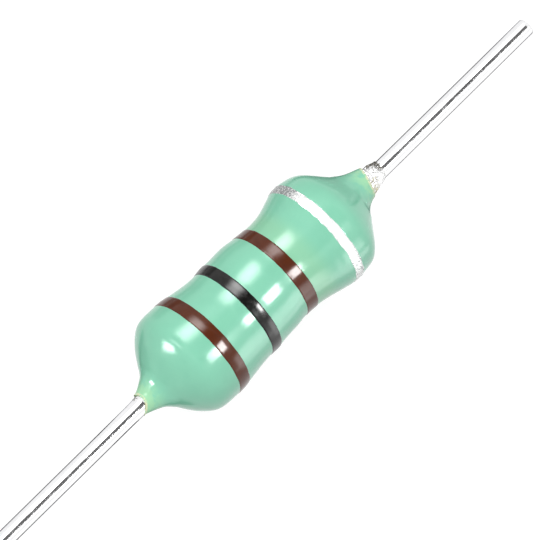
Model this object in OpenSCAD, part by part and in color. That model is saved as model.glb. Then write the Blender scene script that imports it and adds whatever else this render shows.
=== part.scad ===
// Axial inductor: a wound ferrite drum core on two leads, dipped in epoxy and colour coded.
// The leads run along X. The first colour band is at the -X end, and Z is up.

/* [Leads] */
// Diameter of the tinned copper lead wire
lead_d = 0.6; // [0.5:0.02:0.7]
// Distance between the cut ends of the two leads
lead_span = 26; // [18:0.5:66]
// Depth to which each lead is set in the core
lead_seat = 1.1; // [0.7:0.05:1.5]
// Thickness of the tin on the lead wire
tin_t = 0.01; // [0.005:0.001:0.02]
// Burr bevel at the cut end of each lead
cut_bevel = 0.04; // [0.02:0.01:0.1]

/* [Ferrite core] */
// Length of the drum core over its flanges
core_l = 6.7; // [6:0.1:8]
// Diameter of the flanges
flange_d = 3.2; // [3:0.05:3.6]
// Thickness of each flange
flange_t = 0.8; // [0.6:0.05:1]
// Diameter of the shank that carries the winding
shank_d = 1.5; // [1.3:0.05:1.6]
// Width of the wire slot in each flange
slot_w = 0.5; // [0.4:0.05:0.7]
// Bevel on the rim of each flange
rim_bevel = 0.1; // [0.05:0.01:0.2]
// Thickness of the adhesive round each lead in its hole
glue_t = 0.06; // [0.04:0.01:0.1]

/* [Winding] */
// Diameter of the magnet wire over its enamel
wire_d = 0.18; // [0.14:0.01:0.2]
// Layers of turns, an odd number so that the wire finishes at the other flange
layers = 3; // [1:2:3]
// Space between neighbouring turns
turn_gap = 0.03; // [0.02:0.01:0.08]
// Turns of the wire round each lead
lead_wraps = 2; // [1:0.5:3]
// Radius of the bends where the wire enters and leaves its slots
bend_r = 0.2; // [0.15:0.01:0.25]

/* [Solder joints] */
// Length of the left joint, from the core to its tip
solder_left_l = 2.4; // [2.2:0.05:3]
// Length of the right joint, from the core to its tip
solder_right_l = 2.62; // [2.2:0.05:3]
// Thickness of solder on the left lead, beside the core
solder_left_t = 0.3; // [0.28:0.01:0.4]
// Thickness of solder on the right lead, beside the core
solder_right_t = 0.42; // [0.28:0.01:0.5]
// Solder past the last turn of wire before the joint starts to taper
solder_skin = 0.2; // [0.1:0.05:0.4]

/* [Epoxy coating] */
// Length of coating on each lead, from the core to its edge
coat_reach = 1.97; // [1.7:0.01:2.1]
// Coating over the left flange
coat_flange_left = 0.35; // [0.25:0.01:0.5]
// Coating over the right flange
coat_flange_right = 0.4; // [0.25:0.01:0.5]
// Coating over the winding where it lies thick
coat_shelf = 0.38; // [0.3:0.005:0.45]
// Coating over the winding where it lies thin
coat_waist = 0.295; // [0.2:0.005:0.4]
// Coating at its edge on each lead
coat_edge = 0.03; // [0.02:0.005:0.08]
// Where the thick stretch starts, from the middle
shelf_from = -0.85; // [-1.4:0.05:-0.6]
// Where the thick stretch ends, from the middle
shelf_to = 0; // [-0.4:0.05:0.3]
// Where the coating is thinnest, from the middle
waist_at = 1.2; // [0.8:0.05:1.5]

/* [Colour bands] */
// Thickness of the paint
paint_t = 0.03; // [0.01:0.005:0.05]
// Middle of the first band, brown
band_1_at = -2.5; // [-2.8:0.01:-2.2]
// Width of the first band
band_1_w = 0.48; // [0.3:0.01:0.6]
// Middle of the second band, black
band_2_at = -0.85; // [-1.2:0.01:-0.6]
// Width of the second band
band_2_w = 0.43; // [0.3:0.01:0.6]
// Middle of the third band, brown
band_3_at = 0.94; // [0.6:0.01:1.3]
// Width of the third band
band_3_w = 0.48; // [0.3:0.01:0.6]
// Middle of the fourth band, silver
band_4_at = 2.82; // [2.3:0.01:3]
// Width of the fourth band
band_4_w = 0.34; // [0.25:0.01:0.6]

/* [Fits] */
// Space between pieces that lie against each other
fit_gap = 0.02; // [0.01:0.005:0.03]

/* [Hidden] */
$fn = 96;
LEFT = -1;
RIGHT = 1;

lead_r = lead_d / 2;
wire_r = wire_d / 2;
flange_r = flange_d / 2;
shank_r = shank_d / 2;
face_x = core_l / 2;
window = core_l - 2 * flange_t;

// The hole in the core holds the lead, the adhesive round it and a gap on either side of that.
hole_r = lead_r + glue_t + 2 * fit_gap;
hole_depth = lead_seat + glue_t + 2 * fit_gap;

// The wire is a chain of straight steps, and the middle of a step lies nearer to the axis than its ends.
wire_sides = 6;
turn_steps = 12;
bend_steps = 4;
chord = cos(180 / turn_steps);
wrap_r = (lead_r + fit_gap + wire_r) / chord;
function layer_r(k) = (shank_r + fit_gap + wire_r + k * (wire_d + fit_gap)) / chord;
inner_r = layer_r(0);
outer_r = layer_r(layers - 1);
winding_r = outer_r + wire_r;

// The coil stands off the flanges by the bends of its ends. Its turns fill the length evenly.
coil_x = window / 2 - fit_gap - bend_r;
turns = floor(2 * coil_x / (wire_d + turn_gap));
layer_angle = 360 * turns;
rise_angle = 180;
function bend_angle(r) = bend_r / r * 180 / PI;
first_angle = bend_angle(inner_r);
last_angle = first_angle + layers * layer_angle + (layers - 1) * rise_angle;
out_angle = last_angle + bend_angle(outer_r);

// The ends of the wire run down the outer faces of the flanges to the leads.
run_x = face_x + fit_gap + wire_r;
run_end = run_x + wire_r + fit_gap;
pocket_r = wrap_r + wire_r + fit_gap;
pocket_end = run_end + lead_wraps * (wire_d + turn_gap);
bead_end = pocket_end + solder_skin;
solder_taper = 1.1;
taper_steps = 8;

crest_x = face_x - flange_t / 2;
coat_end = face_x + coat_reach;
coat_step = 0.1;

function solder_tip(side) = face_x + (side == LEFT ? solder_left_l : solder_right_l);
function solder_t(side) = side == LEFT ? solder_left_t : solder_right_t;
function mix(a, b, t) = a + (b - a) * t;
function ease(t) = t * t * (3 - 2 * t);
function unit(v) = v / norm(v);

// Revolves an outline of [radius, x] points about the X axis.
module turned() {
    rotate([0, 90, 0])
        rotate_extrude()
            children();
}

// Outer radius of the solder at the distance x from the middle.
function solder_outer(side, x) =
    let (t = (x - bead_end) / (solder_tip(side) - bead_end))
    lead_r + solder_t(side) * (t <= 0 ? 1 : pow(max(0, 1 - t), solder_taper));

// ---- Leads ----

// Round wire. Inside the joint the solder has taken up its tin, so it thins to bare copper there.
module lead(side) {
    turned()
        polygon([
            [0, side * (face_x - lead_seat)],
            [lead_r - tin_t, side * (face_x - lead_seat)],
            [lead_r - tin_t, side * face_x],
            [lead_r, side * solder_tip(side)],
            [lead_r, side * (lead_span / 2 - cut_bevel)],
            [lead_r - cut_bevel, side * lead_span / 2],
            [0, side * lead_span / 2],
        ]);
}

module lead_left() {
    color([0.86, 0.86, 0.87])
        lead(LEFT);
}

module lead_right() {
    color([0.86, 0.86, 0.87])
        lead(RIGHT);
}

// ---- Ferrite core ----

module flange(side) {
    turned()
        polygon([
            [0, side * (face_x - flange_t)],
            [flange_r - rim_bevel, side * (face_x - flange_t)],
            [flange_r, side * (face_x - flange_t + rim_bevel)],
            [flange_r, side * (face_x - rim_bevel)],
            [flange_r - rim_bevel, side * face_x],
            [0, side * face_x],
        ]);
}

// Slot with a round floor that reaches down to the shank, at an angle from the top.
module wire_slot(side, angle) {
    rotate([angle, 0, 0])
        translate([side * (face_x - flange_t / 2), 0, shank_r + slot_w / 2]) {
            rotate([0, 90, 0])
                cylinder(d = slot_w, h = 2 * flange_t, center = true);
            translate([0, 0, flange_r / 2])
                cube([2 * flange_t, slot_w, flange_r], center = true);
        }
}

module lead_hole(side) {
    translate([side * (face_x - hole_depth / 2 + fit_gap), 0, 0])
        rotate([0, 90, 0])
            cylinder(r = hole_r, h = hole_depth + 2 * fit_gap, center = true);
}

module ferrite_core() {
    color([0.22, 0.22, 0.24])
        difference() {
            union() {
                flange(LEFT);
                flange(RIGHT);
                rotate([0, 90, 0])
                    cylinder(r = shank_r, h = core_l - flange_t, center = true);
            }
            lead_hole(LEFT);
            lead_hole(RIGHT);
            wire_slot(LEFT, 0);
            wire_slot(RIGHT, out_angle);
        }
}

// ---- Adhesive ----

// Cup of adhesive round the buried end of a lead, flush with the flange.
module adhesive(side) {
    inner_end = face_x - lead_seat - fit_gap;
    turned()
        polygon([
            [0, side * (inner_end - glue_t)],
            [lead_r + fit_gap + glue_t, side * (inner_end - glue_t)],
            [lead_r + fit_gap + glue_t, side * face_x],
            [lead_r + fit_gap, side * face_x],
            [lead_r + fit_gap, side * inner_end],
            [0, side * inner_end],
        ]);
}

module adhesive_left() {
    color([0.85, 0.75, 0.5])
        adhesive(LEFT);
}

module adhesive_right() {
    color([0.85, 0.75, 0.5])
        adhesive(RIGHT);
}

// ---- Winding ----

// A point at the distance x along the axis, at radius r and turned from the top by angle.
function spot(x, r, angle) = [x, -r * sin(angle), r * cos(angle)];

// One layer of turns. Even layers run to the right and odd ones back to the left.
function layer_path(k) =
    let (way = k % 2 == 0 ? 1 : -1, from = first_angle + k * (layer_angle + rise_angle))
    [for (i = [0 : turns * turn_steps])
        let (t = i / (turns * turn_steps))
        spot(way * mix(-coil_x, coil_x, t), layer_r(k), from + layer_angle * t)];

// Half a turn in which the wire climbs from the layer k to the next.
function rise_path(k) =
    let (way = k % 2 == 0 ? 1 : -1, steps = turn_steps / 2,
         from = first_angle + (k + 1) * layer_angle + k * rise_angle)
    [for (i = [1 : steps - 1])
        spot(way * coil_x, mix(layer_r(k), layer_r(k + 1), ease(i / steps)), from + rise_angle * i / steps)];

// Bend on the cylinder of radius r, from along the coil to along the axis.
function bend_path(side, r, from) =
    [for (i = [1 : bend_steps])
        let (v = 90 * i / bend_steps)
        spot(side * (coil_x + bend_r * (1 - cos(v))), r, from + side * bend_angle(r) * sin(v))];

// Out of the slot, round its edge, straight down the flange and round the lead.
function tail_path(side, r, angle) =
    let (start = spot(side * (run_x - bend_r), r, angle),
         corner = spot(side * run_x, r, angle),
         lead_angle = angle + side * acos(wrap_r / r),
         down = unit(spot(side * run_x, wrap_r, lead_angle) - corner),
         wraps = lead_wraps * turn_steps)
    concat(
        [for (i = [0 : bend_steps])
            let (t = i / bend_steps, bend_to = corner + down * bend_r)
            mix(mix(start, corner, t), mix(corner, bend_to, t), t)],
        [for (i = [0 : wraps])
            spot(side * (run_x + (wire_d + turn_gap) * i / turn_steps), wrap_r,
                 lead_angle + side * 360 * i / turn_steps)]
    );

function backwards(path) = [for (i = [len(path) - 1 : -1 : 0]) path[i]];

function wire_path() =
    concat(
        backwards(concat(bend_path(LEFT, inner_r, first_angle), tail_path(LEFT, inner_r, 0))),
        [for (k = [0 : layers - 1])
            each concat(layer_path(k), k < layers - 1 ? rise_path(k) : [])],
        bend_path(RIGHT, outer_r, last_angle),
        tail_path(RIGHT, outer_r, out_angle)
    );

function heading(path, i) =
    let (last = len(path) - 1)
    unit((i < last ? unit(path[i + 1] - path[i]) : [0, 0, 0]) + (i > 0 ? unit(path[i] - path[i - 1]) : [0, 0, 0]));

// Sweeps a wire along a path. Each section takes its turn from the one before, so the wire never twists.
module wire(path) {
    last = len(path) - 1;
    sides = [
        for (i = 0, along = heading(path, 0), side = unit(cross(along, [1, 0, 0.3]));
             i <= last;
             i = i + 1,
             along = i <= last ? heading(path, i) : along,
             side = unit(side - (side * along) * along))
            [side, cross(along, side)]
    ];
    points = [
        for (i = [0 : last], j = [0 : wire_sides - 1])
            let (a = 360 * j / wire_sides)
            path[i] + wire_r * (cos(a) * sides[i][0] + sin(a) * sides[i][1])
    ];
    walls = [
        for (i = [0 : last - 1], j = [0 : wire_sides - 1])
            let (a = i * wire_sides + j, b = i * wire_sides + (j + 1) % wire_sides)
            each [[a, a + wire_sides, b], [b, a + wire_sides, b + wire_sides]]
    ];
    near_end = [for (j = [0 : wire_sides - 1]) j];
    far_end = [for (j = [wire_sides - 1 : -1 : 0]) last * wire_sides + j];
    polyhedron(points = points, faces = concat([near_end, far_end], walls));
}

module winding() {
    color([0.72, 0.36, 0.2])
        wire(wire_path());
}

// ---- Solder joints ----

// Solder over the wrapped lead, with the space for the wire open towards the core, and a tapered tip.
module solder(side) {
    taper_l = solder_tip(side) - bead_end;
    outline = concat(
        [[solder_outer(side, run_end), run_end]],
        [for (i = [0 : taper_steps - 1])
            let (x = bead_end + taper_l * i / taper_steps)
            [solder_outer(side, x), x]],
        [[lead_r + fit_gap, solder_tip(side) - taper_l / (2 * taper_steps)],
         [lead_r + fit_gap, pocket_end],
         [pocket_r, pocket_end],
         [pocket_r, run_end]]
    );
    turned()
        polygon([for (p = outline) [p[0], side * p[1]]]);
}

module solder_left() {
    color([0.7, 0.7, 0.7])
        solder(LEFT);
}

module solder_right() {
    color([0.7, 0.7, 0.7])
        solder(RIGHT);
}

// ---- Epoxy coating ----

// Each end rises from its edge in a concave neck to a round shoulder, and then to the crest over the flange.
function crest_r(side) = flange_r + (side == LEFT ? coat_flange_left : coat_flange_right);
function neck_rise(side) = side == LEFT ? 0.12 : 0.48;
function neck_power(side) = side == LEFT ? 2.4 : 3.35;
function shoulder_power(side) = side == LEFT ? 4.7 : 6.1;
function edge_r(side) = solder_outer(side, coat_end) + fit_gap + coat_edge;

function end_surface(side, x) =
    let (t = min(1, max(0, (coat_end - x) / (coat_end - crest_x))),
         neck = neck_rise(side) * (1 - pow(1 - t, 2)),
         shoulder = 1 - pow(1 - pow(t, neck_power(side)), shoulder_power(side)))
    edge_r(side) + neck + (crest_r(side) - edge_r(side) - neck_rise(side)) * shoulder;

// Between the crests the coating sinks to a shelf over the left of the winding and to a waist on its right.
function hill(x, from, to) = mix(from[1], to[1], ease((x - from[0]) / (to[0] - from[0])));
function body_surface(x) =
    let (shelf_r = winding_r + coat_shelf, waist_r = winding_r + coat_waist)
    x < shelf_from ? hill(x, [-crest_x, crest_r(LEFT)], [shelf_from, shelf_r]) :
    x < shelf_to ? shelf_r :
    x < waist_at ? hill(x, [shelf_to, shelf_r], [waist_at, waist_r]) :
    hill(x, [waist_at, waist_r], [crest_x, crest_r(RIGHT)]);

function smooth_surface(x) =
    x < -crest_x ? end_surface(LEFT, -x) :
    x > crest_x ? end_surface(RIGHT, x) :
    body_surface(x);

// The surface as it is built, in straight steps, so that the paint lies on it face to face.
function coat_surface(x) =
    let (n = floor(x / coat_step))
    mix(smooth_surface(n * coat_step), smooth_surface((n + 1) * coat_step), x / coat_step - n);

// Outline points on the surface, lifted off it by the height up.
function surface_path(from, to, up) =
    concat(
        [[coat_surface(from) + up, from]],
        [for (n = [floor(from / coat_step) + 1 : ceil(to / coat_step) - 1])
            [smooth_surface(n * coat_step) + up, n * coat_step]],
        [[coat_surface(to) + up, to]]
    );

// The hollow of one end, from the edge in to the flange.
function hollow_path(side) =
    concat(
        [[edge_r(side) - coat_edge, side * coat_end]],
        [for (i = [taper_steps - 1 : -1 : 0])
            let (x = mix(bead_end, solder_tip(side), i / taper_steps))
            if (x < coat_end) [solder_outer(side, x) + fit_gap, side * x]],
        [[solder_outer(side, run_end) + fit_gap, side * run_end],
         [winding_r + fit_gap, side * run_end],
         [winding_r + fit_gap, side * (face_x + fit_gap)],
         [flange_r + fit_gap, side * (face_x + fit_gap)],
         [flange_r + fit_gap, side * (face_x - flange_t - fit_gap)],
         [winding_r + fit_gap, side * (face_x - flange_t - fit_gap)]]
    );

module epoxy_coating() {
    color([0.5, 0.83, 0.7])
        turned()
            polygon(concat(
                surface_path(-coat_end, coat_end, 0),
                hollow_path(RIGHT),
                backwards(hollow_path(LEFT))
            ));
}

// ---- Colour bands ----

module band(at, w) {
    from = at - w / 2;
    to = at + w / 2;
    turned()
        polygon(concat(surface_path(from, to, 0), backwards(surface_path(from, to, paint_t))));
}

module band_1_brown() {
    color([0.4, 0.2, 0.15])
        band(band_1_at, band_1_w);
}

module band_2_black() {
    color([0.12, 0.11, 0.12])
        band(band_2_at, band_2_w);
}

module band_3_brown() {
    color([0.4, 0.2, 0.15])
        band(band_3_at, band_3_w);
}

module band_4_silver() {
    color([0.78, 0.78, 0.78])
        band(band_4_at, band_4_w);
}

epoxy_coating();
ferrite_core();
winding();
lead_left();
lead_right();
solder_left();
solder_right();
adhesive_left();
adhesive_right();
band_1_brown();
band_2_black();
band_3_brown();
band_4_silver();
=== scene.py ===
import math

import bpy
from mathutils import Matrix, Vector


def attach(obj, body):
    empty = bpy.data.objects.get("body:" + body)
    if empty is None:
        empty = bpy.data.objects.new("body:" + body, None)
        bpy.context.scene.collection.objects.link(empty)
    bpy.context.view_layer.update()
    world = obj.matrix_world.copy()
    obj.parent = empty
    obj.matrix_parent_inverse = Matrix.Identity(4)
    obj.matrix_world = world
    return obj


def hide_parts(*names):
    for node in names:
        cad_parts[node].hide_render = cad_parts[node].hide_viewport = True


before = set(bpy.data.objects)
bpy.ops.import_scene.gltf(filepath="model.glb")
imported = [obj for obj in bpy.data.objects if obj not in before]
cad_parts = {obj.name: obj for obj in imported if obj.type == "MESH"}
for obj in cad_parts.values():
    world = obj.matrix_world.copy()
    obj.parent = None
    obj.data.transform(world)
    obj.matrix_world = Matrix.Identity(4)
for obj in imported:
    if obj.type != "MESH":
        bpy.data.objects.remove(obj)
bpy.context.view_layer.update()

# ---- Ferrite core ----
# A small drum of black ferrite, pressed, sintered and tumbled. Each flange has a slot for the wire
# and a blind hole for a lead. The core carries everything else and is hidden by the coating.

MM = 0.001
CORE_COLOUR = (0.030, 0.029, 0.032, 1)
CORE_GRAIN_COLOUR = (0.075, 0.072, 0.078, 1)


def feed(tree, socket, value):
    """Links an input to another socket, or sets it to a plain value."""
    if isinstance(value, bpy.types.NodeSocket):
        tree.links.new(value, socket)
    else:
        socket.default_value = value


def add_node(tree, kind, inputs=None, **settings):
    """Puts a node in a tree, makes its settings, and feeds its inputs by name or number."""
    node = tree.nodes.new(kind)
    for name, value in settings.items():
        setattr(node, name, value)
    for name, value in (inputs or {}).items():
        feed(tree, node.inputs[name], value)
    return node


def value_of(tree, operation, a, b=0.0):
    """A sum, a product or the like of two sockets or numbers."""
    return add_node(tree, "ShaderNodeMath", {0: a, 1: b}, operation=operation).outputs[0]


def scaled(tree, vector, size):
    """A vector times a number."""
    inputs = {0: vector, "Scale": size}
    return add_node(tree, "ShaderNodeVectorMath", inputs, operation="SCALE").outputs[0]


def eased(tree, value, low, high, start=0.0, end=1.0):
    """Eases from start, where the value is low, to end, where it is high."""
    inputs = {"Value": value, "From Min": low, "From Max": high, "To Min": start, "To Max": end}
    node = add_node(tree, "ShaderNodeMapRange", inputs, interpolation_type="SMOOTHSTEP")
    return node.outputs["Result"]


def mixed(tree, share, a, b, kind="RGBA"):
    """Something between two colours, or between two numbers where the kind is FLOAT."""
    node = add_node(tree, "ShaderNodeMix", {"Factor": share, "A": a, "B": b}, data_type=kind)
    return node.outputs["Result"]


def noise_of(tree, place, seed, scale=1, detail=3):
    """A soft random value that changes over a place."""
    inputs = {"Vector": place, "W": seed, "Scale": scale, "Detail": detail}
    return add_node(tree, "ShaderNodeTexNoise", inputs, noise_dimensions="4D").outputs["Fac"]


def new_tree(name, kind, inputs, outputs):
    """A node group with named inputs and outputs. Gives back the group and its inputs' sockets."""
    tree = bpy.data.node_groups.new(name, kind)
    for label, socket_type, value in inputs:
        socket = tree.interface.new_socket(label, in_out="INPUT", socket_type=socket_type)
        if value is not None:
            socket.default_value = value
    for label, socket_type in outputs:
        tree.interface.new_socket(label, in_out="OUTPUT", socket_type=socket_type)
    return tree, add_node(tree, "NodeGroupInput").outputs


def uneven_group():
    """Two colours and two roughnesses in patches of one size, with the same patches as a height."""
    inputs = (
        ("Colour", "NodeSocketColor", (1, 1, 1, 1)),
        ("Patch Colour", "NodeSocketColor", (0, 0, 0, 1)),
        ("Patch Size", "NodeSocketFloat", 0.1),
        ("Patch Start", "NodeSocketFloat", 0.4),
        ("Patch End", "NodeSocketFloat", 0.6),
        ("Roughness", "NodeSocketFloat", 0.3),
        ("Patch Roughness", "NodeSocketFloat", 0.5),
        ("Seed", "NodeSocketFloat", 0.0),
    )
    outputs = (
        ("Colour", "NodeSocketColor"),
        ("Roughness", "NodeSocketFloat"),
        ("Height", "NodeSocketFloat"),
    )
    group, given = new_tree("uneven finish", "ShaderNodeTree", inputs, outputs)
    size = value_of(group, "DIVIDE", 1 / MM, given["Patch Size"])
    place = scaled(group, add_node(group, "ShaderNodeTexCoord").outputs["Object"], size)
    patches = noise_of(group, place, given["Seed"])
    share = eased(group, patches, given["Patch Start"], given["Patch End"])
    colour = mixed(group, share, given["Colour"], given["Patch Colour"])
    rough = mixed(group, share, given["Roughness"], given["Patch Roughness"], "FLOAT")
    add_node(group, "NodeGroupOutput", {"Colour": colour, "Roughness": rough, "Height": patches})
    return group


UNEVEN = uneven_group()


def new_finish(name, plain):
    """A material with a Principled shader, whose plain values are set on its own sockets."""
    finish = bpy.data.materials.new(name)
    finish.use_nodes = True
    sockets = finish.node_tree.nodes["Principled BSDF"].inputs
    for label, value in plain.items():
        sockets[label].default_value = value
    return finish


def add_uneven(finish, colour, patch_colour, size, start, end, rough=0.5, patch_rough=0.5, seed=0.0):
    """Places the uneven finish in a material. Its patches fade in from start to end of the noise."""
    values = (colour, patch_colour, size, start, end, rough, patch_rough, seed)
    return add_node(finish.node_tree, "ShaderNodeGroup", dict(enumerate(values)), node_tree=UNEVEN)


def join_shader(finish, label, socket):
    """Joins a socket to an input of a material's shader."""
    finish.node_tree.links.new(socket, finish.node_tree.nodes["Principled BSDF"].inputs[label])


def add_bump(finish, height, depth):
    """Roughens a material's surface by a height, with the depth in millimetres."""
    inputs = {"Height": height, "Strength": 1.0, "Distance": depth * MM}
    bump = add_node(finish.node_tree, "ShaderNodeBump", inputs)
    join_shader(finish, "Normal", bump.outputs["Normal"])


def uneven_finish(name, plain, bump=0.0, **patches):
    """A material of two colours in patches. Where it has a bump, its surface follows them."""
    finish = new_finish(name, plain)
    node = add_uneven(finish, **patches)
    join_shader(finish, "Base Color", node.outputs["Colour"])
    join_shader(finish, "Roughness", node.outputs["Roughness"])
    if bump:
        add_bump(finish, node.outputs["Height"], bump)
    return finish


def paint_node(name, finish):
    """Gives a node of the CAD its finish."""
    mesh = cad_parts[name].data
    mesh.materials.clear()
    mesh.materials.append(finish)


ferrite = uneven_finish(
    "ferrite",
    {"IOR": 1.5},
    bump=0.01,
    colour=CORE_COLOUR,
    patch_colour=CORE_GRAIN_COLOUR,
    size=0.05,
    start=0.45,
    end=0.7,
    rough=0.55,
    patch_rough=0.8,
)
paint_node("ferrite_core", ferrite)

# ---- Leads ----
# Two straight lengths of soft copper wire, dipped in tin. Each is set in a hole of the core and cut
# to length at its far end, where the copper shows in the cut face.

LEAD_R = 0.3
LEAD_BARE_R = 0.29
LEAD_END = 13.0
LEAD_BEVEL = 0.04
LEAD_IN_CORE = 2.25
LEAD_SIDES = 96
LEAD_STEPS = 60
BEVEL_STEPS = 4
# The outer face of the core, the tips of the solder, and how deep the copper shows at the cut.
FACE_X = 3.35
SOLDER_TIP = {-1: 5.75, 1: 5.97}
CUT_SKIN = 0.004
TIN_COLOUR = (0.93, 0.93, 0.94, 1)
TIN_DULL_COLOUR = (0.88, 0.88, 0.89, 1)
COPPER_COLOUR = (0.62, 0.32, 0.21, 1)
# The tint keeps the tin from going white where it is seen along its surface.
TIN_TINT = (0.25, 0.25, 0.26, 1)

# The side that the dip and the solder sagged to.
DRIFT_WAY = (0, -0.962, -0.273)
# The radius at which the waves are read, how close points are joined, and where an edge is sharp.
WAVE_TUBE_R = 1.8
JOIN_REACH = 0.0001
CREASE = math.radians(35)


def parts_of(tree, vector):
    """The X, Y and Z of a vector."""
    return add_node(tree, "ShaderNodeSeparateXYZ", {0: vector}).outputs


def length_along(tree, vector, way):
    """How far a vector reaches along a way."""
    node = add_node(tree, "ShaderNodeVectorMath", {0: vector, 1: way}, operation="DOT_PRODUCT")
    return node.outputs["Value"]


def end_tree(tree, geometry, finish):
    """Ends a tree with its instances made real and its material set."""
    real = add_node(tree, "GeometryNodeRealizeInstances", {"Geometry": geometry})
    dress = {"Geometry": real.outputs["Geometry"], "Material": finish}
    coloured = add_node(tree, "GeometryNodeSetMaterial", dress)
    add_node(tree, "NodeGroupOutput", {0: coloured.outputs["Geometry"]})


def turned_piece_tree():
    """Revolves the points of an outline, held as (x, radius, 0), about the X axis.

    Each point may carry its own wave height, drift of the centre, and slant and raggedness along X.
    """
    inputs = (
        ("Geometry", "NodeSocketGeometry", None),
        ("Sides", "NodeSocketInt", 96),
        ("Wave Length", "NodeSocketFloat", 1.0 * MM),
        ("Seed", "NodeSocketFloat", 0.0),
        ("Drift Way", "NodeSocketVector", DRIFT_WAY),
        ("Rag Count", "NodeSocketFloat", 6.0),
        ("Slant Thinning", "NodeSocketFloat", 0.0),
        ("Finish", "NodeSocketMaterial", None),
    )
    outputs = (("Geometry", "NodeSocketGeometry"),)
    tree, given = new_tree("turned piece", "GeometryNodeTree", inputs, outputs)

    def math_of(operation, a, b=0.0):
        return value_of(tree, operation, a, b)

    def vector_of(x, y, z):
        return add_node(tree, "ShaderNodeCombineXYZ", {0: x, 1: y, 2: z}).outputs[0]

    # The mesh is a grid, with one row for each point of the outline.
    size = add_node(tree, "GeometryNodeAttributeDomainSize", {0: given["Geometry"]})
    columns = math_of("ADD", given["Sides"], 1)
    counts = {"Vertices X": size.outputs["Point Count"], "Vertices Y": columns}
    grid = add_node(tree, "GeometryNodeMeshGrid", counts)
    index = add_node(tree, "GeometryNodeInputIndex").outputs[0]
    row = math_of("FLOOR", math_of("DIVIDE", math_of("ADD", index, 0.5), columns))
    column = math_of("SUBTRACT", index, math_of("MULTIPLY", row, columns))
    angle = math_of("MULTIPLY", math_of("DIVIDE", column, given["Sides"]), 2 * math.pi)

    def at_row(field, kind):
        source = {"Geometry": given["Geometry"], "Value": field, "Index": row}
        return add_node(tree, "GeometryNodeSampleIndex", source, data_type=kind).outputs[0]

    def carried(name, kind):
        node = add_node(tree, "GeometryNodeInputNamedAttribute", {"Name": name}, data_type=kind)
        return at_row(node.outputs["Attribute"], kind)

    position = add_node(tree, "GeometryNodeInputPosition").outputs[0]
    point = parts_of(tree, at_row(position, "FLOAT_VECTOR"))
    wave = carried("wave", "FLOAT")
    drift = carried("drift", "FLOAT")
    slant = parts_of(tree, carried("slant", "FLOAT_VECTOR"))
    rag = parts_of(tree, carried("rag", "FLOAT_VECTOR"))

    across = math_of("MULTIPLY", math_of("SINE", angle), -1)
    up = math_of("COSINE", angle)

    # The waves are a noise on a tube of one radius, so a band's waves are those of the coating.
    tube_y = math_of("MULTIPLY", across, WAVE_TUBE_R * MM)
    tube_z = math_of("MULTIPLY", up, WAVE_TUBE_R * MM)
    waves_to_length = math_of("DIVIDE", 1, given["Wave Length"])
    tube = scaled(tree, vector_of(point[0], tube_y, tube_z), waves_to_length)
    waves = noise_of(tree, tube, given["Seed"], detail=1)
    wavy = math_of("SUBTRACT", point[1], math_of("MULTIPLY", wave, waves))

    # The slant is a sum of a constant, the cosine to the drift's way, and its square.
    toward = length_along(tree, vector_of(0, across, up), given["Drift Way"])
    slanted = math_of("ADD", slant[0], math_of("MULTIPLY", slant[1], toward))
    square = math_of("MULTIPLY", slant[2], math_of("MULTIPLY", toward, toward))
    slanted = math_of("ADD", slanted, square)
    longer = math_of("MULTIPLY", slanted, math_of("SIGN", point[0]))
    radius = math_of("SUBTRACT", wavy, math_of("MULTIPLY", longer, given["Slant Thinning"]))

    edge = vector_of(rag[1], across, up)
    ragged = noise_of(tree, edge, given["Seed"], scale=given["Rag Count"])
    frayed = math_of("MULTIPLY", rag[0], math_of("SUBTRACT", ragged, 0.5))
    along = math_of("ADD", point[0], math_of("ADD", slanted, frayed))

    ring = vector_of(along, math_of("MULTIPLY", across, radius), math_of("MULTIPLY", up, radius))
    shift = scaled(tree, given["Drift Way"], drift)
    placed = add_node(tree, "ShaderNodeVectorMath", {0: ring, 1: shift}, operation="ADD")

    # The place along the piece before it is slanted is kept for the materials.
    store = {
        "Geometry": grid.outputs["Mesh"],
        "Name": "along",
        "Value": math_of("MULTIPLY", point[0], 1 / MM),
    }
    keep = add_node(
        tree, "GeometryNodeStoreNamedAttribute", store, data_type="FLOAT", domain="POINT"
    )
    places = {"Geometry": keep.outputs["Geometry"], "Position": placed.outputs[0]}
    move = add_node(tree, "GeometryNodeSetPosition", places)
    join = {"Geometry": move.outputs["Geometry"], "Distance": JOIN_REACH * MM}
    merge = add_node(tree, "GeometryNodeMergeByDistance", join)
    turn = add_node(tree, "GeometryNodeFlipFaces", {0: merge.outputs["Geometry"]})

    shade = {"Geometry": turn.outputs[0]}
    smooth = add_node(tree, "GeometryNodeSetShadeSmooth", shade, domain="FACE")
    corner = add_node(tree, "GeometryNodeInputMeshEdgeAngle").outputs["Unsigned Angle"]
    sharpen = {
        "Geometry": smooth.outputs["Geometry"],
        "Selection": math_of("GREATER_THAN", corner, CREASE),
        "Shade Smooth": False,
    }
    crease = add_node(tree, "GeometryNodeSetShadeSmooth", sharpen, domain="EDGE")
    end_tree(tree, crease.outputs["Geometry"], given["Finish"])
    return tree


TURNED = turned_piece_tree()


def run_nodes(piece, tree, **settings):
    """Runs a tree on a piece with its inputs set by name, and keeps the result as a plain mesh."""
    modifier = piece.modifiers.new(tree.name, "NODES")
    modifier.node_group = tree
    sockets = {
        item.name.lower().replace(" ", "_"): item.identifier
        for item in tree.interface.items_tree
        if item.item_type == "SOCKET" and item.in_out == "INPUT"
    }
    for name, value in settings.items():
        modifier[sockets[name]] = value
    shown = piece.evaluated_get(bpy.context.evaluated_depsgraph_get())
    made = bpy.data.meshes.new_from_object(shown)
    made.name = piece.name
    piece.modifiers.clear()
    piece.data = made


def put_in_scene(name, data):
    """Puts a mesh, a lamp or a camera in the scene as an object at the origin."""
    piece = bpy.data.objects.new(name, data)
    bpy.context.scene.collection.objects.link(piece)
    return piece


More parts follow.
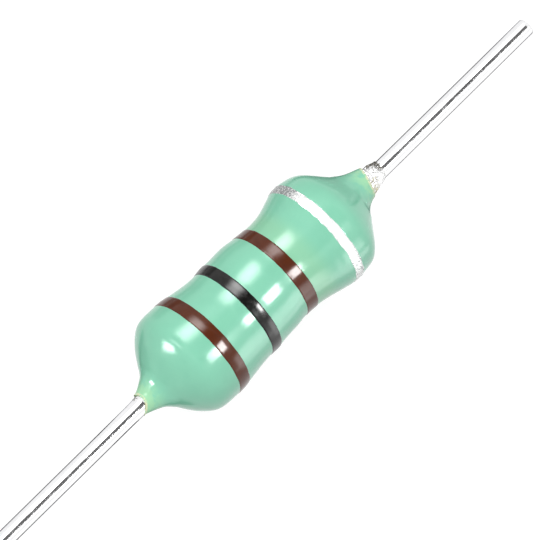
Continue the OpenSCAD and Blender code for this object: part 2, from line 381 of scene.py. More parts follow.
def turned_piece(name, outline, finish, carried=None, **settings):
    """A plain mesh turned from (x, radius) points in millimetres, with values carried by each point."""
    mesh = bpy.data.meshes.new(name + " outline")
    mesh.from_pydata([(x * MM, r * MM, 0) for x, r in outline], [], [])
    for key, values in (carried or {}).items():
        if isinstance(values[0], tuple):
            attribute = mesh.attributes.new(key, "FLOAT_VECTOR", "POINT")
            attribute.data.foreach_set("vector", [c * MM for v in values for c in v])
        else:
            attribute = mesh.attributes.new(key, "FLOAT", "POINT")
            attribute.data.foreach_set("value", [v * MM for v in values])
    piece = put_in_scene(name, mesh)
    run_nodes(piece, TURNED, finish=finish, **settings)
    return piece


def lead_outline(side):
    """From the buried end along the wire to the cut end."""
    start = SOLDER_TIP[side]
    points = [
        (LEAD_IN_CORE, 0),
        (LEAD_IN_CORE, LEAD_BARE_R),
        (FACE_X, LEAD_BARE_R),
        (start, LEAD_R),
    ]
    for i in range(1, LEAD_STEPS + 1):
        points.append((start + (LEAD_END - LEAD_BEVEL - start) * i / LEAD_STEPS, LEAD_R))
    for i in range(1, BEVEL_STEPS + 1):
        a = math.radians(90 * i / BEVEL_STEPS)
        x = LEAD_END - LEAD_BEVEL + LEAD_BEVEL * math.sin(a)
        points.append((x, LEAD_R - LEAD_BEVEL + LEAD_BEVEL * math.cos(a)))
    points.append((LEAD_END, 0))
    # Turned this way round, the faces of both wires look outwards.
    if side < 0:
        points.reverse()
    return [(side * x, r) for x, r in points]


tinned = new_finish("tinned copper", {"Metallic": 1.0, "IOR": 1.5, "Specular Tint": TIN_TINT})
tin = add_uneven(
    tinned,
    colour=TIN_COLOUR,
    patch_colour=TIN_DULL_COLOUR,
    size=0.35,
    start=0.4,
    end=0.75,
    rough=0.10,
    patch_rough=0.2,
)
place = add_node(tinned.node_tree, "ShaderNodeTexCoord").outputs["Object"]
far = value_of(tinned.node_tree, "ABSOLUTE", parts_of(tinned.node_tree, place)["X"])
cut_face = value_of(tinned.node_tree, "GREATER_THAN", far, (LEAD_END - CUT_SKIN) * MM)
metal = mixed(tinned.node_tree, cut_face, tin.outputs["Colour"], COPPER_COLOUR)
join_shader(tinned, "Base Color", metal)
join_shader(tinned, "Roughness", tin.outputs["Roughness"])
add_bump(tinned, tin.outputs["Height"], 0.0006)

for side, name in ((-1, "lead_left"), (1, "lead_right")):
    lead = turned_piece(name + "_wire", lead_outline(side), tinned, sides=LEAD_SIDES)
    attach(lead, "root")
    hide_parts(name)

# ---- Adhesive ----
# A cup of clear amber epoxy adhesive round the buried end of each lead. It is dropped in the hole
# before the lead is pressed home.

ADHESIVE_COLOUR = (0.55, 0.36, 0.12, 1)
ADHESIVE_PALE_COLOUR = (0.68, 0.50, 0.22, 1)

adhesive = uneven_finish(
    "adhesive",
    {"IOR": 1.52},
    colour=ADHESIVE_COLOUR,
    patch_colour=ADHESIVE_PALE_COLOUR,
    size=0.15,
    start=0.4,
    end=0.7,
    rough=0.18,
    patch_rough=0.3,
)
paint_node("adhesive_left", adhesive)
paint_node("adhesive_right", adhesive)

# ---- Winding ----
# One length of enamelled copper wire. It is wound on the shank in three layers, and its ends go
# out through the slots and round the leads.

ENAMEL_COLOUR = (0.58, 0.20, 0.07, 1)
ENAMEL_DARK_COLOUR = (0.42, 0.13, 0.05, 1)

enamel = uneven_finish(
    "enamelled copper",
    {"Metallic": 0.85, "IOR": 1.5, "Coat Weight": 1.0, "Coat Roughness": 0.08},
    colour=ENAMEL_COLOUR,
    patch_colour=ENAMEL_DARK_COLOUR,
    size=0.4,
    start=0.4,
    end=0.7,
    rough=0.25,
    patch_rough=0.4,
)
paint_node("winding", enamel)

# ---- Solder joints ----
# Tin solder that was dipped over the turns of wire on each lead. It froze as a lumpy cone. Its skin
# carries dark grains that are partly flux burnt in the soldering and partly painted shade, heaped on its
# upper side and round its tip. Some pale flux lies where the coating meets it.

BEAD_END = 4.19
POCKET_END = 3.99
POCKET_R = 0.543
RUN_END = 3.57
FIT_GAP = 0.02
SOLDER_T = {-1: 0.3, 1: 0.42}
SOLDER_TAPER = 1.1
SOLDER_LEAST_T = 0.004
SOLDER_STEPS = 56
SOLDER_SIDES = 128
SOLDER_SEED = 3.0
# The waves grow from the bead and die out at the tip, over these lengths.
SOLDER_WAVE = {-1: 0.01, 1: 0.10}
SOLDER_WAVE_LENGTH = 0.32
WAVE_IN = 0.5
WAVE_OUT = 0.25
SOLDER_SAG = {-1: 0.0, 1: -0.028}
SAG_IN = 0.8
# The left cone thins by a share, from a place on over a length. The right one has a low lump, as its
# middle, half width and height.
LEFT_THINNING = (0.8, 4.9, 0.4)
RIGHT_LUMP = (5.72, 0.22, 0.03)
SOLDER_COLOUR = (0.84, 0.84, 0.84, 1)
SOLDER_DULL_COLOUR = (0.55, 0.55, 0.54, 1)

# The side away from the sag.
UPPER_WAY = (0, 0.962, 0.273)
# Each patch of flux, where the dark patches are partly painted shade: its joint; where along the lead it
# starts, lies thick and ends; how far towards the upper side it starts and lies thick; and its grains to
# a square millimetre, their size and seed.
FLUX_AND_SHADE = {
    "flux_left": (-1, 5.27, 5.30, 5.42, 0.75, 0.95, 900.0, 0.020, 4),
    "flux_right_top": (1, 5.40, 5.50, 5.95, 0.70, 0.92, 1400.0, 0.015, 2),
    "flux_right_end": (1, 5.72, 5.86, 6.00, -0.30, 0.30, 2200.0, 0.015, 7),
    "flux_right_few": (1, 5.45, 5.90, 6.00, -0.80, 0.60, 260.0, 0.014, 11),
    "flux_right_pale": (1, 5.62, 5.20, 6.00, 0.45, -0.45, 900.0, 0.015, 5),
}
GRAIN_LEAST = (0.5, 0.5, 0.4)
GRAIN_MOST = (1.7, 1.3, 0.8)
# The dark grains' colours are partly flux and partly painted shade.
DARK_FLUX_AND_SHADE_COLOUR = (0.030, 0.026, 0.020, 1)
DARK_FLUX_AND_SHADE_PALE_COLOUR = (0.16, 0.14, 0.10, 1)
PALE_FLUX_COLOUR = (0.62, 0.56, 0.34, 1)
PALE_FLUX_DARK_COLOUR = (0.22, 0.19, 0.10, 1)


def clamp(t):
    """A share, kept between 0 and 1."""
    return min(1, max(0, t))


def solder_outer(side, x):
    """Outer radius of the solder at the distance x from the middle."""
    t = clamp((x - BEAD_END) / (SOLDER_TIP[side] - BEAD_END))
    return LEAD_R + SOLDER_T[side] * (1 - t) ** SOLDER_TAPER


def solder_piece(side, name, finish):
    """The cone with its lumps, and the pocket inside it that the turns of wire lie in."""
    tip = SOLDER_TIP[side]
    points = [(RUN_END, solder_outer(side, RUN_END), 0)]
    for i in range(SOLDER_STEPS):
        x = BEAD_END + (tip - BEAD_END) * i / SOLDER_STEPS
        wave = SOLDER_WAVE[side] * clamp((x - BEAD_END) / WAVE_IN) * clamp((tip - x) / WAVE_OUT)
        thick = solder_outer(side, x) - LEAD_R
        if side < 0:
            share, start, length = LEFT_THINNING
            thick *= 1 - share * clamp((x - start) / length)
        else:
            middle, half_width, height = RIGHT_LUMP
            thick += height * clamp(1 - abs(x - middle) / half_width)
        points.append((x, LEAD_R + max(SOLDER_LEAST_T, thick) + wave * 0.5, wave))
    points += [
        (tip, LEAD_R + SOLDER_LEAST_T, 0),
        (tip, LEAD_R - SOLDER_LEAST_T, 0),
        (POCKET_END, LEAD_R + FIT_GAP, 0),
        (POCKET_END, POCKET_R, 0),
        (RUN_END, POCKET_R, 0),
    ]
    points.append(points[0])
    if side < 0:
        points.reverse()
    outline = [(side * x, r) for x, r, wave in points]
    carried = {
        "wave": [wave for x, r, wave in points],
        "drift": [SOLDER_SAG[side] * clamp((x - BEAD_END) / SAG_IN) for x, r, wave in points],
    }
    return turned_piece(
        name,
        outline,
        finish,
        carried,
        sides=SOLDER_SIDES,
        wave_length=SOLDER_WAVE_LENGTH * MM,
        seed=SOLDER_SEED + side,
    )


def flux_and_shade_grains_tree():
    """Grains on the skin of a joint, thicker towards one end of it and one side of it. Dark grains
    heaped on a side are partly painted shade.
    """
    inputs = (
        ("Geometry", "NodeSocketGeometry", None),
        ("Density", "NodeSocketFloat", 100.0),
        ("Grain Size", "NodeSocketFloat", 0.02 * MM),
        ("Seed", "NodeSocketInt", 1),
        ("Thin From", "NodeSocketFloat", 5.4),
        ("Thick From", "NodeSocketFloat", 5.8),
        ("Ends At", "NodeSocketFloat", 6.0),
        ("Side", "NodeSocketVector", UPPER_WAY),
        ("Side Low", "NodeSocketFloat", -0.2),
        ("Side High", "NodeSocketFloat", 0.6),
        ("Finish", "NodeSocketMaterial", None),
    )
    outputs = (("Geometry", "NodeSocketGeometry"),)
    tree, given = new_tree("flux and shade grains", "GeometryNodeTree", inputs, outputs)

    along = add_node(
        tree, "GeometryNodeInputNamedAttribute", {"Name": "along"}, data_type="FLOAT"
    )
    out = value_of(tree, "ABSOLUTE", along.outputs["Attribute"])
    by_end = eased(tree, out, given["Thin From"], given["Thick From"])
    within = value_of(tree, "LESS_THAN", out, given["Ends At"])

    place = add_node(tree, "GeometryNodeInputPosition").outputs[0]
    flatten = {0: place, 1: (0, 1, 1)}
    flat = add_node(tree, "ShaderNodeVectorMath", flatten, operation="MULTIPLY")
    unit = add_node(tree, "ShaderNodeVectorMath", {0: flat.outputs[0]}, operation="NORMALIZE")
    toward = length_along(tree, unit.outputs[0], given["Side"])
    by_side = eased(tree, toward, given["Side Low"], given["Side High"])
    share = value_of(tree, "MULTIPLY", value_of(tree, "MULTIPLY", by_end, within), by_side)

    per_area = value_of(tree, "MULTIPLY", given["Density"], 1 / MM**2)
    spread = {
        "Mesh": given["Geometry"],
        "Density": value_of(tree, "MULTIPLY", per_area, share),
        "Seed": given["Seed"],
    }
    scatter = add_node(tree, "GeometryNodeDistributePointsOnFaces", spread)
    ball = {"Subdivisions": 1, "Radius": given["Grain Size"]}
    grain = add_node(tree, "GeometryNodeMeshIcoSphere", ball)
    sizes = {0: GRAIN_LEAST, 1: GRAIN_MOST, "Seed": given["Seed"]}
    random_size = add_node(tree, "FunctionNodeRandomValue", sizes, data_type="FLOAT_VECTOR")
    lay = {
        "Points": scatter.outputs["Points"],
        "Rotation": scatter.outputs["Rotation"],
        "Instance": grain.outputs["Mesh"],
        "Scale": random_size.outputs[0],
    }
    laid = add_node(tree, "GeometryNodeInstanceOnPoints", lay)
    end_tree(tree, laid.outputs[0], given["Finish"])
    return tree


FLUX_AND_SHADE_GRAINS = flux_and_shade_grains_tree()

solder = uneven_finish(
    "solder",
    {"Metallic": 1.0, "IOR": 1.5},
    bump=0.05,
    colour=SOLDER_COLOUR,
    patch_colour=SOLDER_DULL_COLOUR,
    size=0.12,
    start=0.45,
    end=0.7,
    rough=0.15,
    patch_rough=0.35,
    seed=2.0,
)
# Dark grains of flux that also stand as painted shade on the solder.
dark_flux_and_shade = uneven_finish(
    "dark flux and painted shade",
    {"IOR": 1.5},
    colour=DARK_FLUX_AND_SHADE_COLOUR,
    patch_colour=DARK_FLUX_AND_SHADE_PALE_COLOUR,
    size=0.06,
    start=0.45,
    end=0.65,
    rough=0.35,
    patch_rough=0.6,
    seed=5.0,
)
pale_flux = uneven_finish(
    "pale flux",
    {"IOR": 1.5},
    colour=PALE_FLUX_COLOUR,
    patch_colour=PALE_FLUX_DARK_COLOUR,
    size=0.04,
    start=0.5,
    end=0.6,
    rough=0.35,
    patch_rough=0.6,
    seed=6.0,
)

for side, name in ((-1, "solder_left"), (1, "solder_right")):
    # The left cone is only a thin skin, as bright as the tin of its lead.
    joint = solder_piece(side, name + "_joint", tinned if side < 0 else solder)
    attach(joint, "root")
    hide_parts(name)
    for patch, (on, start, thick, end, low, high, density, size, seed) in FLUX_AND_SHADE.items():
        if on != side:
            continue
        grains = put_in_scene(patch, joint.data.copy())
        run_nodes(
            grains,
            FLUX_AND_SHADE_GRAINS,
            density=density,
            grain_size=size * MM,
            seed=seed,
            thin_from=start,
            thick_from=thick,
            ends_at=end,
            side_low=low,
            side_high=high,
            finish=pale_flux if "pale" in patch else dark_flux_and_shade,
        )
        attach(grains, "root")

# ---- Epoxy coating ----
# Blue-green epoxy powder, melted on in a fluid bed. It lies thick over the flanges and thinner over
# the winding, hangs a little to one side, and ends in an uneven edge on each solder joint.

COAT_END = 5.32
CREST_X = 2.95
CREST_R = {-1: 1.95, 1: 2.0}
# The slope of the surface between the crests, read from left to right.
MIDDLE_SLOPES = (
    (-2.95, 0.00),
    (-2.80, -0.02),
    (-2.60, -0.04),
    (-2.50, -0.07),
    (-2.40, -0.14),
    (-2.20, -0.145),
    (-1.90, -0.145),
    (-1.60, -0.135),
    (-1.48, -0.10),
    (-1.30, -0.05),
    (-1.10, -0.01),
    (-1.02, 0.09),
    (-0.86, 0.09),
    (-0.78, 0.03),
    (-0.66, -0.05),
    (-0.58, -0.12),
    (-0.50, -0.07),
    (-0.30, -0.01),
    (-0.10, 0.00),
    (0.12, -0.03),
    (0.30, -0.09),
    (0.42, -0.13),
    (0.58, -0.13),
    (0.68, -0.08),
    (0.90, -0.03),
    (1.10, 0.00),
    (1.25, 0.025),
    (1.45, 0.09),
    (1.70, 0.165),
    (1.90, 0.225),
    (2.10, 0.285),
    (2.35, 0.27),
    (2.60, 0.19),
    (2.80, 0.08),
    (2.95, 0.00),
)
MIDDLE_LIFT = -0.0127
NECK_RISE = {-1: 0.12, 1: 0.48}
NECK_POWER = {-1: 2.4, 1: 3.35}
SHOULDER_POWER = {-1: 4.7, 1: 6.1}
COAT_EDGE = 0.03
WINDING_R = 1.394
FLANGE_R = 1.6
FLANGE_T = 0.8
COAT_SIDES = 192
COAT_STEP = 0.05
HOLLOW_STEPS = 8
COAT_WAVE = 0.016
COAT_WAVE_LENGTH = 1.0
COAT_WAVE_OUT = 0.6
# The edges slant by a constant, a cosine and a square. The slant grows from its start, and the points
# nearer the middle than SLANT_FROM stay where they are.
EDGE_SLANT = {-1: (0.06, -0.12, -0.12), 1: (-0.05, -0.155, 0.045)}
SLANT_START = 4.2
SLANT_FROM = 4.5
SLANT_THINNING = 0.22
DRIFT_AT = (
    (-5.3, -0.015),
    (-4.7, -0.040),
    (-3.9, -0.035),
    (-1.5, 0.013),
    (0.4, -0.045),
    (2.1, 0.050),
    (2.45, 0.040),
    (2.8, 0.010),
    (3.1, 0.010),
    (3.6, 0.030),
    (5.2, -0.055),
)
# Shallow sinks round the coating, each as its middle, half width and depth.
SINKS = (
    (-4.60, 0.60, 0.045),
    (-4.60, 0.28, 0.020),
    (-4.72, 0.32, 0.011),
    (-3.88, 0.40, 0.020),
    (2.72, 0.40, -0.014),
    (3.33, 0.42, 0.024),
    (4.30, 0.70, -0.052),
)
COAT_TUCK = {-1: 0.06, 1: 0.0}
TUCK_START = 4.85
COAT_COLOUR = (0.270, 0.700, 0.490, 1)
COAT_DEEP_COLOUR = (0.250, 0.665, 0.465, 1)
COAT_THIN_COLOUR = (0.298, 0.684, 0.442, 1)
COAT_RIM_COLOUR = (0.400, 0.790, 0.470, 1)
COAT_RESIDUE_COLOUR = (0.82, 0.84, 0.56, 1)
# The thin colour shows round one place, and the others near the coating's end. Each has its distances
# from there at which it starts and is full.
THIN_AT = 1.40
THIN_REACH = (0.80, 0.15)
RIM_REACH = (0.75, 0.10)
RESIDUE_REACH = (0.10, 0.04)


def ease(t):
    """A share that starts and stops gently."""
    return t * t * (3 - 2 * t)


def between(x, stations):
    """Value at x between stations of (x, value), eased from one to the next."""
    if x <= stations[0][0]:
        return stations[0][1]
    for (x0, a), (x1, b) in zip(stations, stations[1:]):
        if x <= x1:
            return a + (b - a) * ease((x - x0) / (x1 - x0))
    return stations[-1][1]


def edge_r(side):
    """Radius of the coating at its end, before it is tucked down."""
    return solder_outer(side, COAT_END) + FIT_GAP + COAT_EDGE


def end_surface(side, x):
    """A concave neck from the edge, then a round shoulder up to the crest over the flange."""
    t = clamp((COAT_END - x) / (COAT_END - CREST_X))
    neck = NECK_RISE[side] * (1 - (1 - t) ** 2)
    shoulder = 1 - (1 - t ** NECK_POWER[side]) ** SHOULDER_POWER[side]
    return edge_r(side) + neck + (CREST_R[side] - edge_r(side) - NECK_RISE[side]) * shoulder


def smooth_surface(x):
    """Radius of the coating without its sinks, from its ends or from the slopes between the crests."""
    if x < -CREST_X:
        return end_surface(-1, -x)
    if x > CREST_X:
        return end_surface(1, x)
    radius = CREST_R[-1]
    for (x0, a), (x1, b) in zip(MIDDLE_SLOPES, MIDDLE_SLOPES[1:]):
        reach = min(x, x1) - x0
        if reach > 0:
            radius += reach * (a + (b - a) * reach / (x1 - x0) / 2)
    return radius + MIDDLE_LIFT * (x + CREST_X) / (2 * CREST_X)


def tuck(x):
    """How far the coating is tucked down to the joint."""
    return COAT_TUCK[-1 if x < 0 else 1] * ease(clamp((abs(x) - TUCK_START) / (COAT_END - TUCK_START)))


def coat_surface(x):
    """The surface with its shallow sinks, tucked down to the joint at its edges."""
    sunk = sum(
        depth * (0.5 + 0.5 * math.cos(math.pi * (x - at) / half))
        for at, half, depth in SINKS
        if abs(x - at) < half
    )
    return smooth_surface(x) - sunk - tuck(x)


def coat_wave(x):
    """The waves fade out towards the edges."""
    return COAT_WAVE * ease(clamp((COAT_END - abs(x)) / COAT_WAVE_OUT))


def coat_slant(x):
    """The slant, which grows towards the edges."""
    if abs(x) <= SLANT_FROM:
        return (0, 0, 0)
    share = ease(clamp((abs(x) - SLANT_START) / (COAT_END - SLANT_START)))
    return tuple(s * share for s in EDGE_SLANT[1 if x > 0 else -1])


def hollow(side):
    """The inside of one end, from the edge in to the flange."""
    points = [(COAT_END, edge_r(side) - COAT_EDGE - COAT_TUCK[side])]
    for i in range(1, HOLLOW_STEPS + 1):
        x = COAT_END + (BEAD_END - COAT_END) * i / HOLLOW_STEPS
        points.append((x, solder_outer(side, x) + FIT_GAP - tuck(side * x)))
    points += [
        (RUN_END, solder_outer(side, RUN_END) + FIT_GAP),
        (RUN_END, WINDING_R + FIT_GAP),
        (FACE_X + FIT_GAP, WINDING_R + FIT_GAP),
        (FACE_X + FIT_GAP, FLANGE_R + FIT_GAP),
        (FACE_X - FLANGE_T - FIT_GAP, FLANGE_R + FIT_GAP),
        (FACE_X - FLANGE_T - FIT_GAP, WINDING_R + FIT_GAP),
    ]
    return [(side * x, r) for x, r in points]


green = new_finish("green epoxy", {"IOR": 1.5, "Specular IOR Level": 0.4})
tree = green.node_tree
flow = add_uneven(
    green,
    colour=COAT_COLOUR,
    patch_colour=COAT_DEEP_COLOUR,
    size=0.9,
    start=0.35,
    end=0.7,
    rough=0.14,
    patch_rough=0.18,
)
rim_patches = add_uneven(
    green,
    colour=COAT_COLOUR,
    patch_colour=COAT_RIM_COLOUR,
    size=0.35,
    start=0.35,
    end=0.55,
    seed=3.0,
)
residue_patches = add_uneven(
    green,
    colour=COAT_RIM_COLOUR,
    patch_colour=COAT_RESIDUE_COLOUR,
    size=0.09,
    start=0.42,
    end=0.5,
    seed=9.0,
)
along = add_node(tree, "ShaderNodeAttribute", attribute_name="along").outputs["Fac"]
from_thin = value_of(tree, "ABSOLUTE", value_of(tree, "SUBTRACT", along, THIN_AT))
out = value_of(tree, "ABSOLUTE", along)
thin = eased(tree, from_thin, *THIN_REACH)
rim = eased(tree, out, *(COAT_END - reach for reach in RIM_REACH))
residue = eased(tree, out, *(COAT_END - reach for reach in RESIDUE_REACH))
skin = mixed(tree, thin, flow.outputs["Colour"], COAT_THIN_COLOUR)
skin = mixed(tree, rim, skin, rim_patches.outputs["Colour"])
skin = mixed(tree, residue, skin, residue_patches.outputs["Colour"])
join_shader(green, "Base Color", skin)
join_shader(green, "Roughness", flow.outputs["Roughness"])

count = round(2 * COAT_END / COAT_STEP)
outer = [-COAT_END + 2 * COAT_END * i / count for i in range(count + 1)]
outline = [(x, coat_surface(x)) for x in outer] + hollow(1) + hollow(-1)[::-1]
outline.append(outline[0])
inside = [0] * (len(outline) - len(outer))
coating = turned_piece(
    "epoxy_coating_skin",
    outline,
    green,
    {
        "wave": [coat_wave(x) for x in outer] + inside,
        "drift": [between(x, DRIFT_AT) for x in outer] + inside,
        "slant": [coat_slant(x) for x, r in outline],
    },
    sides=COAT_SIDES,
    wave_length=COAT_WAVE_LENGTH * MM,
    slant_thinning=SLANT_THINNING,
)
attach(coating, "root")
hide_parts("epoxy_coating")

# ---- Colour bands ----
# Four rings of paint, put on by a wheel while the part turns. The paint rounds off at its edges. The
# silver one is thick with flake, and its edges are broken.

PAINT_T = 0.014
PAINT_SHOULDER = 0.045
PAINT_UNDER = 0.004
BAND_STEPS = 24
BAND_SIDES = 256
FRAY_WIDTH = 0.1
# How far apart the two edges of a band read the noise that frays them.
FRAY_APART = 5
BROWN_COLOUR = (0.112, 0.026, 0.008, 1)
BROWN_DEEP_COLOUR = (0.092, 0.019, 0.005, 1)
BLACK_COLOUR = (0.004, 0.004, 0.003, 1)
BLACK_WORN_COLOUR = (0.012, 0.011, 0.010, 1)
SILVER_COLOUR = (0.80, 0.81, 0.80, 1)
SILVER_FLAKE_AND_SHADE_COLOUR = (0.30, 0.32, 0.32, 1)
# The silver has more dark flake patches towards its upper and its lower side as seen, a painted shade
# over its own speckle: the heights between which that changes, and where in the noise the dark patches
# start at each of them.
SILVER_SHADE_ABOVE = (0.9, 1.6, 0.75, 0.40)
SILVER_SHADE_BELOW = (-1.5, -0.7, 0.47, 0.75)
FLAKE_AND_SHADE_EDGE = 0.12


def band_piece(name, at, width, finish, rag):
    """A ring of paint on the coating, as a closed outline over its surface and back under it."""
    start, end = at - width / 2, at + width / 2
    top, under = [], []
    for i in range(BAND_STEPS + 1):
        x = start + width * i / BAND_STEPS
        inset = min(x - start, end - x)
        shoulder = math.sqrt(max(0, 1 - max(0, 1 - inset / PAINT_SHOULDER) ** 2))
        side = -1 if x < at else 1
        fray = max(0, 1 - inset / FRAY_WIDTH)
        top.append((x, coat_surface(x) + PAINT_T * shoulder, side, fray))
        under.append((x, coat_surface(x) - PAINT_UNDER, side, fray))
    points = top + under[::-1]
    points.append(points[0])
    return turned_piece(
        name,
        [(x, r) for x, r, side, fray in points],
        finish,
        {
            "wave": [coat_wave(x) for x, r, side, fray in points],
            "drift": [between(x, DRIFT_AT) for x, r, side, fray in points],
            "rag": [(rag * fray, side * FRAY_APART / MM, 0) for x, r, side, fray in points],
        },
        sides=BAND_SIDES,
        wave_length=COAT_WAVE_LENGTH * MM,
    )


brown = uneven_finish(
    "brown paint",
    {"IOR": 1.45, "Specular IOR Level": 0.31},
    colour=BROWN_COLOUR,
    patch_colour=BROWN_DEEP_COLOUR,
    size=0.25,
    start=0.4,
    end=0.7,
    rough=0.12,
    patch_rough=0.2,
)
black = uneven_finish(
    "black paint",
    {"IOR": 1.45, "Specular IOR Level": 0.42},
    colour=BLACK_COLOUR,
    patch_colour=BLACK_WORN_COLOUR,
    size=0.25,
    start=0.4,
    end=0.7,
    rough=0.16,
    patch_rough=0.24,
)

silver = new_finish("silver paint", {"Metallic": 0.35, "IOR": 1.5})
tree = silver.node_tree
place = add_node(tree, "ShaderNodeTexCoord").outputs["Object"]
# Dark patches grow towards the band's upper and lower sides as seen: painted shade over the flake's own
# speckle.
height = length_along(tree, place, tuple(c / MM for c in UPPER_WAY))
silver_shade_above = eased(tree, height, *SILVER_SHADE_ABOVE)
silver_shade_below = eased(tree, height, *SILVER_SHADE_BELOW)
flake_and_shade_start = value_of(tree, "MINIMUM", silver_shade_above, silver_shade_below)
flake = add_uneven(
    silver,
    colour=SILVER_COLOUR,
    patch_colour=SILVER_FLAKE_AND_SHADE_COLOUR,
    size=0.05,
    start=flake_and_shade_start,
    end=value_of(tree, "ADD", flake_and_shade_start, FLAKE_AND_SHADE_EDGE),
    rough=0.35,
    patch_rough=0.25,
)
join_shader(silver, "Base Color", flake.outputs["Colour"])
join_shader(silver, "Roughness", flake.outputs["Roughness"])
add_bump(silver, flake.outputs["Height"], 0.02)

# Each band as its middle, its width, how far its edges fray, its paint and the paint's slot.
BANDS = {
    "band_1_brown": (-2.50, 0.48, 0.04, brown, "brown_paint"),
    "band_2_black": (-0.85, 0.43, 0.04, black, "black_paint"),
    "band_3_brown": (0.94, 0.48, 0.04, brown, "brown_paint"),
    "band_4_silver": (2.82, 0.34, 0.12, silver, "silver_paint"),
}
for name, (at, width, rag, paint, slot) in BANDS.items():
    band = band_piece(name + "_ring", at, width, paint, rag)
    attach(band, "root")
    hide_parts(name)

# ---- Studio ----
# A white floor that fades into the white background, an even white sky, and cards of light that only
# show in the gloss. Dark cards hang where the lens is and draw a line along the leads.

FLOOR_Z = -2.03
FLOOR_REACH = 3000
FLOOR_COLOUR = (0.2, 0.2, 0.2, 1)
WHITE = (1, 1, 1, 1)
FLOOR_GLOW = 0.90
SKY_LIGHT = 0.75
SKY_SEEN = 1.0
CARD_DISTANCE = 100
CARD_CORNERS = ((-1, -1), (1, -1), (1, 1), (-1, 1))
OVERHEAD_AT = (-0.05, -0.05, 0.30)
OVERHEAD_SIZE = 0.25
OVERHEAD_POWER = 0.35


def facing_corners(way, half_height, half_width):
    """Corners of a card that faces the part from a direction. Its width runs along the part."""
    way = Vector(way).normalized()
    along = (Vector((1, 0, 0)) - way * way.x).normalized()
    across = way.cross(along)
    return [
        (way * CARD_DISTANCE + along * (a * half_width) + across * (b * half_height)) * MM
        for a, b in CARD_CORNERS
    ]


def standing_corners(x0, x1, y, z0, z1):
    """Corners of a card that stands upright along the part."""
    return [Vector((x, y, z)) * MM for x, z in ((x0, z0), (x1, z0), (x1, z1), (x0, z1))]


def lying_corners(x0, x1, y0, y1, lift):
    """Corners of a card that lies this far over the floor."""
    z = FLOOR_Z + lift
    return [Vector((x, y, z)) * MM for x, y in ((x0, y0), (x1, y0), (x1, y1), (x0, y1))]


def leaning_corners(x, half_width, tilt, distance, half_length):
    """Corners of a card over a lead. It looks at the lead from this many degrees in front of the top."""
    y, z = -math.sin(math.radians(tilt)), math.cos(math.radians(tilt))
    middle = Vector((x, distance * y, distance * z))
    return [
        (middle + Vector((a * half_width, b * half_length * z, -b * half_length * y))) * MM
        for a, b in CARD_CORNERS
    ]


def flat_piece(name, corners, finish):
    """A flat sheet of the stage, with one face."""
    mesh = bpy.data.meshes.new(name)
    mesh.from_pydata(corners, [], [(0, 1, 2, 3)])
    mesh.materials.append(finish)
    piece = put_in_scene(name, mesh)
    return piece


def gloss_card(name, corners, strength, soft_height, soft_width):
    """A card that only gloss sees. Its glow fades towards its edges over these parts of its size."""
    glow = bpy.data.materials.new(name)
    glow.use_nodes = True
    tree = glow.node_tree
    tree.nodes.clear()
    place = add_node(tree, "ShaderNodeUVMap", uv_map="card").outputs[0]
    parts = parts_of(tree, place)
    fade_x = eased(tree, value_of(tree, "ABSOLUTE", parts["X"]), 1.0, 1.0 - soft_width)
    fade_y = eased(tree, value_of(tree, "ABSOLUTE", parts["Y"]), 1.0, 1.0 - soft_height)
    light = add_node(tree, "ShaderNodeEmission", {"Strength": strength}).outputs[0]
    clear = add_node(tree, "ShaderNodeBsdfTransparent").outputs[0]
    both = {"Fac": value_of(tree, "MULTIPLY", fade_x, fade_y), 1: clear, 2: light}
    faded = add_node(tree, "ShaderNodeMixShader", both).outputs[0]
    add_node(tree, "ShaderNodeOutputMaterial", {"Surface": faded})

    card = flat_piece(name, corners, glow)
    uv = card.data.uv_layers.new(name="card")
    for loop, corner in zip(uv.data, CARD_CORNERS):
        loop.uv = corner
    card.visible_camera = False
    card.visible_diffuse = False
    card.visible_shadow = False
    card.visible_transmission = False


def background_ray(tree):
    """One where the camera, gloss or a clear piece sees the background, nothing where it lights."""
    ray = add_node(tree, "ShaderNodeLightPath").outputs
    seen = value_of(tree, "MAXIMUM", ray["Is Camera Ray"], ray["Is Glossy Ray"])
    return value_of(tree, "MAXIMUM", seen, ray["Is Transmission Ray"])


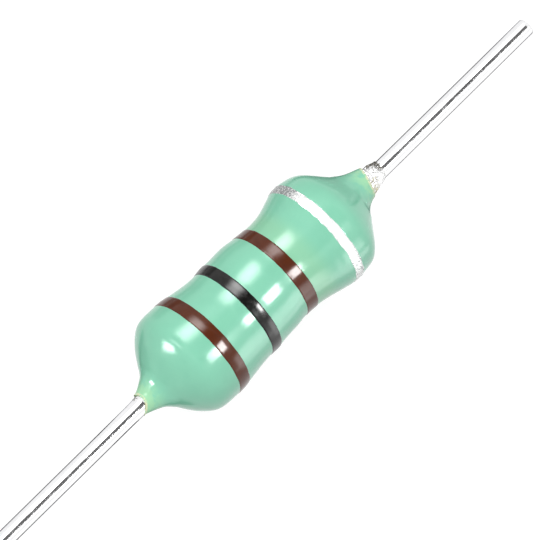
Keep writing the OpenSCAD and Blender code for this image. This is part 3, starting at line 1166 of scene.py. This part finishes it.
# Each card with its corners, its strength, and how soft its glow is in its height and its width.
CARDS = (
    ("key box", facing_corners((0.32, -0.675, 0.660), 18, 15), 50, 0.35, 0.6),
    ("fill box", facing_corners((0.22, 0.334, 0.920), 42, 32), 15, 0.85, 0.7),
    ("fill wing", facing_corners((-0.48, 0.340, 0.81), 30, 13), 8, 0.7, 0.7),
    ("end box", facing_corners((-0.80, 0.41, 0.44), 26, 18), 30, 0.6, 0.6),
    # The low box stands in front of the part and goes on as a sheet of light on the floor.
    ("low box", standing_corners(0.5, 9.5, -12, -7, 4.5), 5.6, 0.5, 0.35),
    ("low sheet", lying_corners(-0.4, 7.5, -14.5, -4.6, 0.008), 4.0, 0.35, 0.5),
    # The lens is dark over the body. Over each lead it is dark with a paler card behind it.
    ("dark card", facing_corners((0.2787, -0.3417, 0.8975), 50, 20), 0.12, 0.6, 0.3),
    ("lens surround", leaning_corners(-2.5, 7.0, 26.4, 31, 21.7), 1.6, 0.3, 0.2),
    ("dark lens", leaning_corners(-2.5, 7.0, 21.4, 30, 16.7), 0.12, 0.5, 0.2),
    ("lens surround", leaning_corners(20.0, 7.5, 22.0, 31, 21.7), 1.6, 0.3, 0.2),
    ("dark lens", leaning_corners(20.0, 7.5, 17.0, 30, 16.7), 0.12, 0.5, 0.2),
    # The wall and the table are dark behind the part, and the table is bright in front of it.
    ("dark wall", standing_corners(-1.5, 8, 12, 2.8, FLOOR_Z), 0.3, 0.5, 0.3),
    ("dark table back", lying_corners(-1.5, 8, 7.0, 12, 0.005), 0.4, 0.1, 0.2),
    ("bright table", lying_corners(-80, 120, -160, -2.0, 0.005), 1.3, 0.01, 0.2),
    # The table is dark under the necks and the leads too, with a strip close under the right lead.
    ("dark table", lying_corners(-12.5, -6.4, -2.0, 7.0, 0.010), 0.35, 0.02, 0.02),
    ("dark table", lying_corners(-6.4, -5.2, -2.0, 7.0, 0.010), 0.12, 0.02, 0.02),
    ("dark table", lying_corners(5.8, 7.7, -0.8, 7.0, 0.010), 0.12, 0.02, 0.02),
    ("dark table", lying_corners(7.7, 14.0, 0.0, 7.0, 0.010), 0.40, 0.02, 0.02),
    ("dark strip", lying_corners(6.6, 13.9, -0.5, 0.3, 1.58), 0.12, 0.05, 0.02),
)
for name, corners, strength, soft_height, soft_width in CARDS:
    gloss_card(name, corners, strength, soft_height, soft_width)

paper = new_finish(
    "white floor",
    {
        "Base Color": FLOOR_COLOUR,
        "Roughness": 1.0,
        "Specular IOR Level": 0.0,
        "Emission Color": WHITE,
    },
)
glow = value_of(paper.node_tree, "MULTIPLY", background_ray(paper.node_tree), FLOOR_GLOW)
join_shader(paper, "Emission Strength", glow)
floor_corners = lying_corners(-FLOOR_REACH, FLOOR_REACH, -FLOOR_REACH, FLOOR_REACH, 0)
flat_piece("floor", floor_corners, paper)

world = bpy.data.worlds.new("white studio")
bpy.context.scene.world = world
world.use_nodes = True
levels = {"Value": background_ray(world.node_tree), "To Min": SKY_LIGHT, "To Max": SKY_SEEN}
level = add_node(world.node_tree, "ShaderNodeMapRange", levels).outputs["Result"]
sky = world.node_tree.nodes["Background"]
feed(world.node_tree, sky.inputs["Color"], WHITE)
feed(world.node_tree, sky.inputs["Strength"], level)

overhead_data = bpy.data.lights.new("overhead box", "AREA")
overhead_data.shape = "DISK"
overhead_data.size = OVERHEAD_SIZE
overhead_data.energy = OVERHEAD_POWER
overhead = put_in_scene("overhead box", overhead_data)
overhead.location = Vector(OVERHEAD_AT)
overhead.rotation_mode = "QUATERNION"
overhead.rotation_quaternion = overhead.location.to_track_quat("Z", "Y")
overhead.visible_glossy = False
overhead.visible_camera = False

# ---- Camera ----
# A long lens high over the part, which looks along its length from one side. The body fills the
# middle of its field, and the leads run out to two corners.

AZIMUTH = math.radians(-46.75)
ELEVATION = math.radians(67.5)
AIM = Vector((0.824, 0.121, 0.283)) * MM
FIELD = 17.42

camera_data = bpy.data.cameras.new("camera")
camera_data.lens = 400
camera_data.sensor_width = 36
camera_data.clip_start = 0.01
camera_data.clip_end = 10
camera = put_in_scene("camera", camera_data)
back = Vector(
    (
        math.sin(AZIMUTH) * math.cos(ELEVATION),
        -math.cos(AZIMUTH) * math.cos(ELEVATION),
        math.sin(ELEVATION),
    )
)
camera.location = AIM + back * (FIELD * MM * camera_data.lens / camera_data.sensor_width)
camera.rotation_mode = "QUATERNION"
camera.rotation_quaternion = (-back).to_track_quat("-Z", "Y")
bpy.context.scene.camera = camera
bpy.context.scene.view_settings.view_transform = "Standard"
